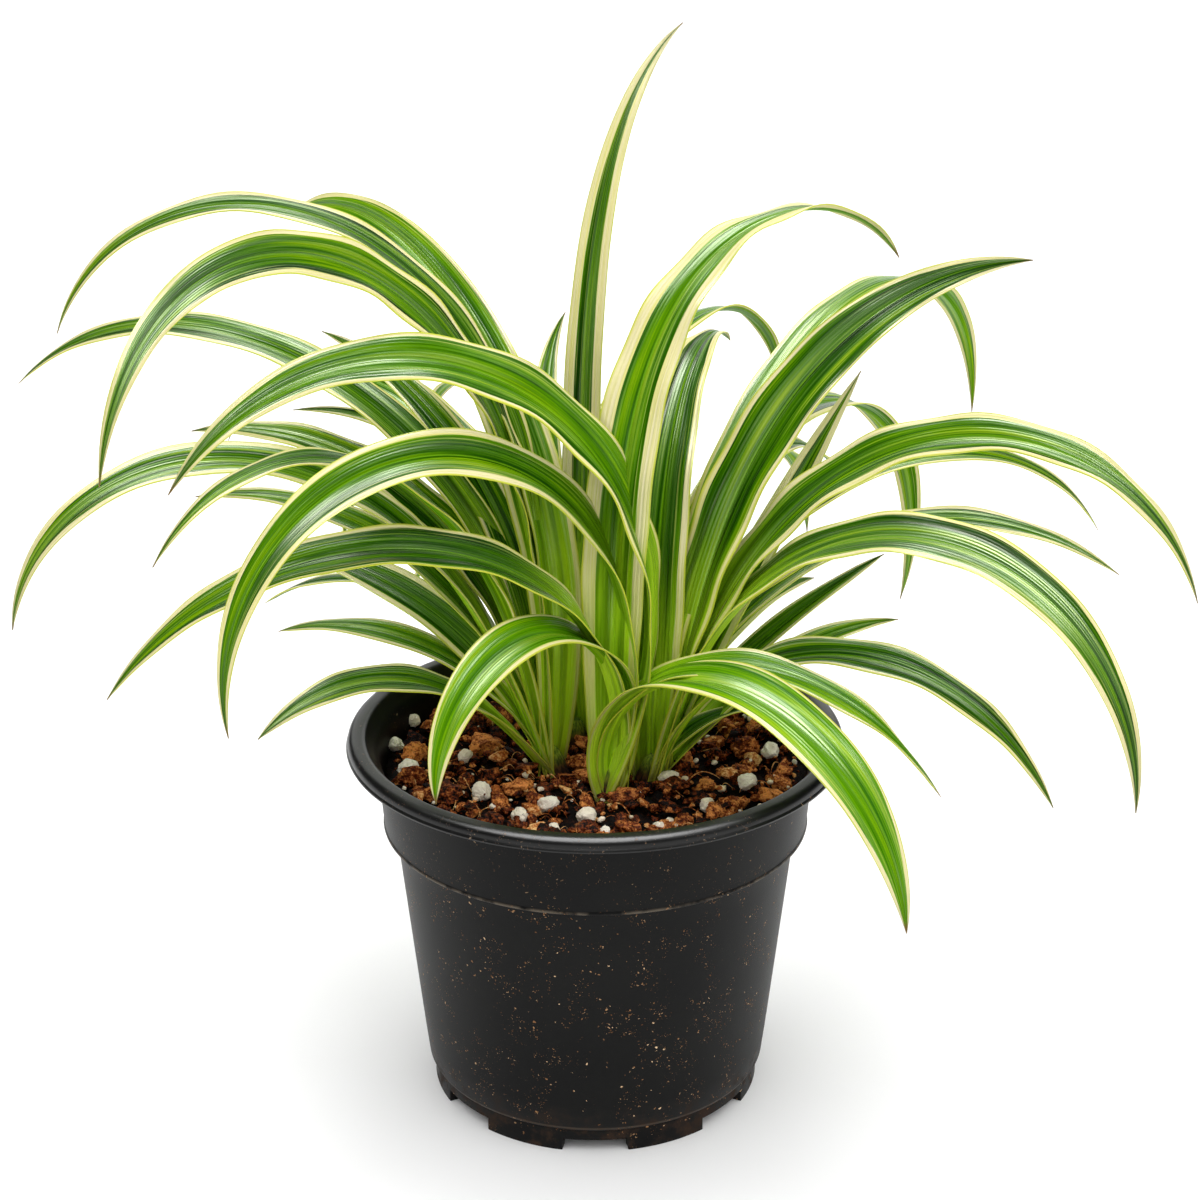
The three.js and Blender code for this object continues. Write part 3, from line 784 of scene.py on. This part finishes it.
def make_mix(ground_material, bark, tan_bark, perlite_material):
    """Everything in the pot but the plant."""
    make_ground(ground_material)
    reach = inner_radius(MIX_LEVEL) - 2.5
    finest, fine, middling, smallest = [rock_template(level) for level in (4, 3, 2, 1)]

    dark_bark = Scatter(11)
    places = dark_bark.places(105, gap=7.6, clear=8.5, reach=reach - 2.0)
    shares = {"width": (0.6, 0.85), "depth": (0.45, 0.65), "tone": (0, 1)}
    dark_bark.strew(finest, places, size=(3.4, 5.8), ruggedness=0.42, raised=0.26, **shares)
    places = dark_bark.places(360, gap=3.8, clear=6.0, reach=reach)
    shares = {"width": (0.55, 0.9), "depth": (0.45, 0.7), "tone": (0, 0.9)}
    dark_bark.strew(middling, places, size=(1.2, 2.8), ruggedness=0.5, lift=(-0.8, 1.3), **shares)
    dark_bark.piece("bark_dark", bark)

    pale_bark = Scatter(23)
    places = pale_bark.places(34, gap=12.0, clear=11.0, reach=reach - 2.0)
    shares = {"width": (0.55, 0.8), "depth": (0.4, 0.6), "tone": (0.2, 1)}
    lie = {"lift": 0.9, "raised": 0.2}
    pale_bark.strew(fine, places, size=(2.4, 4.0), ruggedness=0.4, **shares, **lie)
    places = pale_bark.places(240, gap=4.2, clear=7.0, reach=reach)
    shares = {"width": (0.5, 0.9), "depth": (0.4, 0.7), "tone": (0, 1)}
    pale_bark.strew(middling, places, size=(0.6, 1.5), ruggedness=0.4, lift=(0.6, 2.2), **shares)
    pale_bark.piece("bark_tan", tan_bark)

    grains = Scatter(5)
    for x, y, size in PERLITE_SEEN:
        centre = (x, y, mix_surface(x, y) + 1.2 + 0.35 * size)
        sizes = (size * 1.1, size * 0.95, size * 0.85)
        grains.chunk(finest, centre, sizes, 0.2, grains.pick((0, 0.4)), GRAIN_BREAKS)
    places = grains.places(110, gap=5.0, clear=8.0, reach=reach)
    shares = {"width": 0.85, "depth": 0.7, "tone": (0, 1)}
    lie = {"lift": (0.8, 2.0), "breaks": GRAIN_BREAKS}
    grains.strew(middling, places, size=(0.45, 1.5), ruggedness=0.25, **shares, **lie)
    grains.piece("perlite", perlite_material)

    crumbs = Scatter(31)
    places = crumbs.places(900, gap=1.2, clear=4.5, reach=reach + 1.5)
    shares = {"width": (0.5, 0.9), "depth": (0.5, 0.9), "tone": (0, 0.55)}
    crumbs.strew(smallest, places, size=(0.35, 0.95), ruggedness=0.4, lift=(-1.5, 0.5), **shares)
    crumbs.piece("mix_crumbs", bark)

    strands = Scatter(47)
    for x, y in strands.places(130, gap=4.0, clear=8.0, reach=reach - 4.0):
        add_strand(strands, x, y)
    strands.piece("coir_strands", tan_bark)


def add_strand(strands, x, y):
    """A thin curved fibre that lies over the chunks."""
    steps, sides = 7, 5
    heading, bend = strands.pick((0, 2 * math.pi)), strands.pick((-0.35, 0.35))
    length, radius = strands.pick((3.5, 9.0)), strands.pick((0.10, 0.2))
    lift = strands.pick((1.2, 2.6))
    path = []
    for step in range(steps + 1):
        arch = math.sin(math.pi * step / steps)
        path.append((x, y, mix_surface(x, y) + 0.4 + lift * arch))
        x += length / steps * math.cos(heading)
        y += length / steps * math.sin(heading)
        heading += bend
    path = np.array(path)
    points = []
    for step, centre in enumerate(path):
        ahead = path[min(step + 1, steps)] - path[max(step - 1, 0)]
        ahead /= np.linalg.norm(ahead)
        side = np.cross(ahead, (0, 0, 1))
        side /= np.linalg.norm(side)
        above = np.cross(side, ahead)
        thick = radius * (0.4 + 0.6 * math.sin(math.pi * (step + 0.5) / (steps + 1)))
        for k in range(sides):
            angle = 2 * math.pi * k / sides
            points.append(centre + thick * (math.cos(angle) * side + math.sin(angle) * above))
    strands.add(np.array(points), tube_faces(steps + 1, sides), strands.pick((0.2, 1)))


# ---- leaves ------------------------------------------------------------------------------

# heading is the compass angle in which a leaf leaves the crown, 0 towards +X and 90 towards +Y,
# and sweep is how far that turns on the way to the tip. rise and fall are the slopes at base and
# tip, and bend says how late the leaf comes down. roll turns the blade about its own run, and
# twist adds to that near the tip. Angles are in degrees.
Leaf = namedtuple("Leaf", "heading sweep rise fall bend length width roll twist")
LEAVES = {
    "left": [
        (158, 40, 91, -72, 2.2, 285, 14, -20, -20),
        (138, -12, 98, -30, 1.45, 252, 20, -50, -20),
        (190, 56, 90, -78, 2, 306, 18, -74, 20),
        (170, -14, 87, -44, 1.3, 260, 15, -30, -10),
        (196, 2, 72, -83, 1.9, 236, 16, -30, -20),
        (210, 17, 79, -50, 1.9, 208, 12, -20, 0),
        (168, 11, 82, -10, 1.45, 166, 16, -40, 0),
        (180, -25, 76, -23, 0.85, 104, 12, -20, 0),
        (207, 17, 55, -30, 1.4, 114, 14, -30, 0),
        (162, 0, 74, 0, 0.9, 112, 16, -40, 0),
        (148, 0, 88, 10, 1.5, 162, 14, -40, 0),
        (184, 0, 74, -8, 1.5, 148, 13, -30, 0),
    ],
    "front": [
        (187, 23, 115, -54, 1.23, 257, 20, -56, 0),
        (202, 18, 110, -100, 1.25, 258, 18, -62, 40),
        (218, -36, 114, -56, 0.78, 220, 18, -35, 0),
        (224, 3, 119, -95, 1.03, 140, 19, -16, -32),
        (-29, 4, 118, -53, 0.61, 143, 14, 30, -50),
        (-44, 10, 116, -83, 0.65, 166, 21, 8, 60),
        (60, -46, 90, -62, 3.1, 236, 21, 66, -120),
    ],
    "right": [
        (80, -12, 88, -40, 2.6, 172, 20, 0, 0),
        (10, -10, 80, 0, 2.3, 207, 22, 50, 50),
        (38, 20, 80, -90, 1.8, 280, 18, 20, -60),
        (50, 0, 92, -114, 1.3, 258, 17, 30, -90),
        (3, 25, 74, 55, 0.8, 137, 12, 60, 0),
        (-5, -30, 76, -72, 1.83, 241, 17, 60, -50),
        (-22, -26, 78, -90, 1.42, 240, 18, 40, 0),
        (18, 0, 48, -5, 1.6, 89, 12, 20, 0),
        (-16, -16, 78, -60, 0.92, 157, 15, 25, 0),
        (8, 0, 77, -3, 0.8, 38, 12, 0, 0),
    ],
    "back_left": [
        (158, 24, 85, -5, 1.6, 150, 11, -30, 0),
        (50, 0, 90, 22, 4.3, 232, 13, 30, 20),
        (140, -70, 88, 20, 1.6, 145, 12, 0, 0),
        (140, 8, 80, -66, 1.6, 215, 15, -30, 0),
        (128, 0, 78, -80, 1.3, 192, 16, 0, 0),
        (110, 8, 82, -66, 1.5, 196, 14, 0, 0),
        (168, -15, 62, -40, 1.2, 125, 13, 0, 0),
        (122, 0, 60, -50, 1.1, 125, 14, 0, 0),
        (45, 7, 95, -92, 2, 220, 15, 0, -20),
    ],
    "back_right": [
        (46, 0, 90, -60, 1.6, 152, 16, 15, 0),
        (8, 12, 76, -60, 1.4, 204, 12, 30, 0),
        (-2, -24, 71, -30, 1.25, 178, 12, 30, 0),
        (5, 0, 48, 31, 1.4, 90, 10, 30, 0),
        (98, 6, 80, -78, 1.3, 192, 15, 0, 0),
        (60, 8, 76, -82, 1.35, 190, 15, 10, 0),
        (20, 6, 66, -20, 1.3, 118, 14, 20, 0),
        (88, 0, 60, -60, 1.1, 130, 14, 0, 0),
        (42, 0, 56, -10, 1.2, 82, 13, 20, 0),
    ],
}

STATIONS = 96
SUNK_STATIONS = (8.0, 5.0, 2.5)  # how far the foot of a leaf goes on into the crown
HALF_COLUMNS = 9  # from the rib to either margin
SIDE_COLUMNS = 2 * HALF_COLUMNS + 1
RING_SIZE = 2 * SIDE_COLUMNS
# a ring of points goes over the upper side from left to right and back along the lower one
SIDE_ACROSS = np.linspace(-1, 1, SIDE_COLUMNS)
RING_ACROSS = np.concatenate([SIDE_ACROSS, -SIDE_ACROSS])
RING_UNDER = np.repeat([0.0, 1.0], SIDE_COLUMNS)
LEAF_START = 104.0
# rise in degrees, and how far from the middle of its crown a leaf with that rise starts
FLAT_ROOT, STEEP_ROOT = (45, 5.2), (115, 1.2)
# width at the base as a share, the share of the length where it is full, and how late it tapers
BASE_SHARE, FULL_AT, TIP_POWER, TAPER_POWER = 0.66, 0.4, 3.2, 0.9
TIP_HALF_WIDTH = 0.14
FOLD = (20.0, 6.0)  # degrees that each half is folded up from flat, at the base and at the tip
CURL = (26.0, -30.0)  # degrees between rib and margin, of the blade and of the sheath
SHEATH_END = 0.20
RIB_THICKNESS, MARGIN_THICKNESS = 0.62, 0.34
# the rib's ridge below and groove above: depth, and width as a share of the half width
KEEL, KEEL_WIDTH, GROOVE, GROOVE_WIDTH = 0.42, 0.12, 0.16, 0.07
# shares of the half width by which the cream's edge wanders along a leaf and comes in at its tip
MARGIN_DRIFT, TIP_CREAM = 0.035, 0.28
DRIFT_LENGTH = 31  # millimetres of leaf to one radian of that wandering
STREAK_LENGTH = 55  # millimetres of leaf to one unit of run
YOUNG_LENGTH = 180  # shorter leaves of the front shoot are young and of a fresher green
# leaves whose cream margins are broader, by this share of the half width
CREAM_EXTRA = {("back_left", 2): 0.36, ("front", 7): 0.2, ("right", 5): 0.26, ("right", 1): 0.1}


def leaf_frames(leaf, share):
    """The directions along, across and out of the upper face of a leaf, one row a share."""
    turn = np.radians(leaf.heading + leaf.sweep * share)
    slope = np.radians(leaf.rise + (leaf.fall - leaf.rise) * share**leaf.bend)
    level = np.stack([-np.sin(turn), np.cos(turn), np.zeros_like(turn)], 1)
    flat = np.cos(slope)
    along = np.stack([flat * np.cos(turn), flat * np.sin(turn), np.sin(slope)], 1)
    roll = leaf.roll * (1 - (1 - share) ** 2)
    tilt = np.radians(roll + leaf.twist * share**3)[:, None]
    side = level * np.cos(tilt) + np.cross(along, level) * np.sin(tilt)
    return along, side, np.cross(along, side)


def leaf_spine(leaf, crown):
    """Middle points of a leaf, from its root to its tip."""
    heading = math.radians(leaf.heading)
    (flat, outer), (steep, inner) = FLAT_ROOT, STEEP_ROOT
    offset = lerp(outer, inner, min(1, max(0, (leaf.rise - flat) / (steep - flat))))
    x, y = crown[0] + offset * math.cos(heading), crown[1] + offset * math.sin(heading)
    root = np.array((x, y, LEAF_START))
    middles = (np.arange(STATIONS) + 0.5) / STATIONS
    steps = leaf_frames(leaf, middles)[0] * leaf.length / STATIONS
    return np.vstack([root, root + np.cumsum(steps, 0)])


def leaf_stations(leaf, crown):
    """Middle point, side, upper face, way from the root and share of the length, one row a
    station. The first few are the foot, sunk into the crown."""
    share = np.arange(STATIONS + 1) / STATIONS
    spine, (along, side, face) = leaf_spine(leaf, crown), leaf_frames(leaf, share)
    sunk = np.array(SUNK_STATIONS)
    spine = np.vstack([spine[0] - along[0] * sunk[:, None], spine])
    run = np.concatenate([-sunk, share * leaf.length])
    rows = np.maximum(0, np.arange(-len(sunk), STATIONS + 1))
    return spine, side[rows], face[rows], run, share[rows]


def half_widths(width, share):
    """From the rib to either margin."""
    opened = np.sin(np.minimum(1, share / FULL_AT) * math.pi / 2)
    swell = BASE_SHARE + (1 - BASE_SHARE) * opened
    taper = np.maximum(0, 1 - share**TIP_POWER) ** TAPER_POWER
    return np.maximum(TIP_HALF_WIDTH, width / 2 * swell * taper)


def half_section(share, half, wave):
    """Offsets across and out of the face, from rib to margin, on the upper and lower side."""
    columns = np.linspace(0, 1, HALF_COLUMNS + 1)
    middles = (columns[1:] + columns[:-1]) / 2
    sheath = 1 - smooth(share, 0.0, SHEATH_END)
    angles = np.radians(lerp(*FOLD, share) - lerp(*CURL, sheath) * (middles - 0.5))
    step = half / HALF_COLUMNS
    out = np.concatenate([[0], np.cumsum(np.cos(angles))]) * step
    up = np.concatenate([[0], np.cumsum(np.sin(angles))]) * step + wave * columns**2
    slopes = np.gradient(up, out + 1e-9) if half > 0.2 else np.zeros_like(out)
    normals = np.stack([-slopes, np.ones_like(slopes)], 1)
    normals /= np.linalg.norm(normals, axis=1)[:, None]
    normals[0] = (0, 1)
    thick = lerp(RIB_THICKNESS, MARGIN_THICKNESS, columns**1.5) * min(1, half / 1.2 + 0.15)
    thick = thick + KEEL * bell(columns, KEEL_WIDTH) * (1 - share)
    groove = GROOVE * bell(columns, GROOVE_WIDTH) * min(1, half / 3)
    return np.stack([out, up - groove], 1), np.stack([out, up], 1) - normals * thick[:, None]


def blade_layout(run):
    """Corners of the bake layout, in the order of the faces: the upper side, the lower side
    above it, and the two caps in a corner."""
    rows = [*np.linspace(0.02, 0.47, SIDE_COLUMNS), *np.linspace(0.49, 0.94, SIDE_COLUMNS), 0.96]
    ends = (run - run[0]) / (run[-1] - run[0]) * 0.98 + 0.01
    corners = []
    for near, far in zip(ends, ends[1:]):
        for low, high in zip(rows, rows[1:]):
            corners += [(near, low), (far, low), (far, high), (near, high)]
    for middle in (0.02, 0.05):
        for j in range(RING_SIZE):
            angle = 2 * math.pi * j / RING_SIZE
            corners.append((middle + 0.01 * math.cos(angle), 0.98 + 0.01 * math.sin(angle)))
    return corners


def make_leaf(name, leaf, crown, node, material, draw, is_young, cream_extra):
    """One strap leaf, with waves along its margins and the values that its material reads."""
    spine, side, face, run, share = leaf_stations(leaf, crown)
    halves = half_widths(leaf.width, share)
    phases = draw.uniform(0, 2 * math.pi, 4)
    pitch = draw.uniform(26, 44)
    height = draw.uniform(0.02, 0.05) * leaf.width
    calm = smooth(share, 0.08, 0.3) * (1 - smooth(share, 0.8, 1.0))
    tone = draw.uniform(0.9, 1.0) if is_young else draw.uniform(0, 0.7)
    margins = draw.uniform(0.77, 0.87) + draw.uniform(-0.05, 0.05, 2) - cream_extra

    points, margin_values = [], []
    for i, centre in enumerate(spine):
        upper, lower = [], []
        for sign, phase in zip((-1, 1), phases):
            wave = height * calm[i] * math.sin(2 * math.pi * run[i] / pitch + phase)
            for row, half in zip((upper, lower), half_section(share[i], halves[i], wave)):
                row.append(centre + sign * half[:, :1] * side[i] + half[:, 1:] * face[i])
        points += [*upper[0][:0:-1], *upper[1], *lower[1][::-1], *lower[0][1:]]
        drift = MARGIN_DRIFT * np.sin(run[i] / DRIFT_LENGTH + phases[2:])
        left, right = margins + drift - TIP_CREAM * smooth(share[i], 0.72, 1.0)
        margin_values.extend(np.where(RING_ACROSS < 0, left, right))

    stations = len(spine)
    faces = tube_faces(stations, RING_SIZE)
    piece = add_piece(name, points, faces, material, node, sharp_above=50)
    layout = piece.data.uv_layers.new(name="OFBake")
    layout.data.foreach_set("uv", np.array(blade_layout(run), np.float32).ravel())
    set_values(piece, "across", np.tile(RING_ACROSS, stations))
    set_values(piece, "share", np.repeat(share, RING_SIZE))
    set_values(piece, "run", np.repeat(run / STREAK_LENGTH, RING_SIZE))
    set_values(piece, "tone", np.full(stations * RING_SIZE, tone))
    set_values(piece, "under", np.tile(RING_UNDER, stations))
    set_values(piece, "margin", margin_values)


CROWN_SIDES, CROWN_LOBES = 36, 7
CROWN_PROFILE = [  # radius and height
    (0, 76.0),
    (3.4, 76.0),
    (5.2, 90.0),
    (5.8, 98.0),
    (4.6, 102.0),
    (3.4, 105.0),
    (2.0, 108.0),
    (0, 110.0),
]


def make_crown(name, crown, node, material):
    """The short, faintly lobed rootstock that carries a shoot's leaves."""
    points, faces = turned(CROWN_PROFILE, CROWN_SIDES)
    shaped = []
    for x, y, z in points:
        swell = 1 + 0.05 * math.sin(CROWN_LOBES * math.atan2(y, x) + z * 0.1)
        shaped.append((x * swell + crown[0], y * swell + crown[1], z))
    add_piece(name, shaped, faces, material, node)


def make_shoots(leaf_material, crown_material):
    """Each crown with its leaves, which take their draws one after another."""
    draw = np.random.default_rng(2)
    for shoot, rows in LEAVES.items():
        node, crown = "shoot_" + shoot, CROWNS[shoot]
        make_crown("crown_" + shoot, crown, node, crown_material)
        for number, row in enumerate(rows, 1):
            name, leaf = f"leaf_{shoot}_{number:02d}", Leaf(*row)
            is_young = shoot == "front" and leaf.length < YOUNG_LENGTH
            cream_extra = CREAM_EXTRA.get((shoot, number), 0.0)
            make_leaf(name, leaf, crown, node, leaf_material, draw, is_young, cream_extra)


# ---- studio ------------------------------------------------------------------------------

# Brightness of the surroundings, by the sine of the height above the horizon.
SKY_LEVELS = [(0.0, 1.05), (0.12, 1.05), (0.32, 0.65), (0.60, 0.72), (0.80, 1.7), (1.0, 1.9)]


def make_floor():
    """The white ground, far wider than the view."""
    bpy.ops.mesh.primitive_circle_add(vertices=96, radius=9.0, fill_type="NGON")
    floor = bpy.context.object
    floor.name = "floor"
    floor.data.materials.append(floor_finish())


def make_sky():
    """Soft light from all round. Gloss comes from the lamps and the floor alone."""
    world = bpy.data.worlds.new("studio")
    bpy.context.scene.world = world
    world.cycles_visibility.glossy = False
    world.use_nodes = True
    tree = world.node_tree
    split = tree.nodes.new("ShaderNodeSeparateXYZ")
    ramp = tree.nodes.new("ShaderNodeValToRGB")
    tree.links.new(tree.nodes.new("ShaderNodeTexCoord").outputs["Generated"], split.inputs[0])
    tree.links.new(split.outputs["Z"], ramp.inputs[0])
    tree.links.new(ramp.outputs["Color"], tree.nodes["Background"].inputs["Color"])
    elements = ramp.color_ramp.elements
    while len(elements) < len(SKY_LEVELS):
        elements.new(0.5)
    for element, (position, level) in zip(elements, SKY_LEVELS):
        element.position = position
        element.color = (level, level, level, 1)


def add_panel(name, place, radius, brightness):
    """A round softbox that faces the plant and only shows as gloss."""
    light = bpy.data.lights.new(name, "AREA")
    light.shape = "DISK"
    light.size = 2 * radius
    light.energy = brightness * math.pi**2 * radius**2
    panel = bpy.data.objects.new(name, light)
    panel.location = AXIS + Vector(place)
    panel.rotation_euler = Vector(place).to_track_quat("Z", "Y").to_euler()
    panel.visible_diffuse = False
    panel.visible_camera = False
    bpy.context.scene.collection.objects.link(panel)


def add_sun(name, azimuth, elevation, strength, softness):
    """Even light from one side. azimuth 0 is the camera's side and 90 the right. Angles are in
    degrees, and softness is how wide the sun looks."""
    light = bpy.data.lights.new(name, "SUN")
    light.energy = strength
    light.angle = math.radians(softness)
    sun = bpy.data.objects.new(name, light)
    turn, lift = math.radians(azimuth), math.radians(elevation)
    level = math.cos(lift)
    to_sun = Vector((math.sin(turn) * level, -math.cos(turn) * level, math.sin(lift)))
    sun.rotation_euler = to_sun.to_track_quat("Z", "Y").to_euler()
    bpy.context.scene.collection.objects.link(sun)


def add_camera():
    """The photograph's view: from the front, looking down by about 22 degrees."""
    elevation, distance, aim_height, aim_side = math.radians(21.74), 0.761, 0.1598, 0.0014
    camera = bpy.data.objects.new("camera", bpy.data.cameras.new("camera"))
    camera.data.sensor_width = 36.0
    camera.data.lens = 76.4
    target = Vector((AXIS.x + aim_side, AXIS.y, aim_height))
    back = Vector((0, -math.cos(elevation), math.sin(elevation)))
    camera.location = target + back * distance
    camera.rotation_euler = back.to_track_quat("Z", "Y").to_euler()
    bpy.context.scene.collection.objects.link(camera)
    bpy.context.scene.camera = camera


add_camera()
make_pot(pot_finish())
dark = bark_finish("bark_dark_brown", paint(12, 2, 0), paint(116, 48, 12), paint(232, 148, 78))
tan = bark_finish("bark_tan_brown", paint(92, 38, 10), paint(188, 106, 46), paint(248, 200, 134))
# the body under the chunks is near black: partly the dark peat of the mix, partly painted shade in
# the gaps between chunks
ground = bark_finish("mix_brown_and_gap_shade", paint(6, 1, 0), paint(32, 12, 3), paint(104, 52, 20))
make_mix(ground, dark, tan, perlite_finish())
make_shoots(leaf_finish(), crown_finish())
make_floor()
make_sky()
add_sun("key", azimuth=180, elevation=76, strength=0.55, softness=24)
add_sun("fill", azimuth=60, elevation=42, strength=0.40, softness=50)
add_panel("softbox", place=(-0.1, -0.25, 2.0), radius=1.2, brightness=16.0)
add_panel("backdrop", place=(0.0, 1.5, 0.72), radius=0.8, brightness=1.6)
bpy.context.scene.view_settings.view_transform = "Standard"
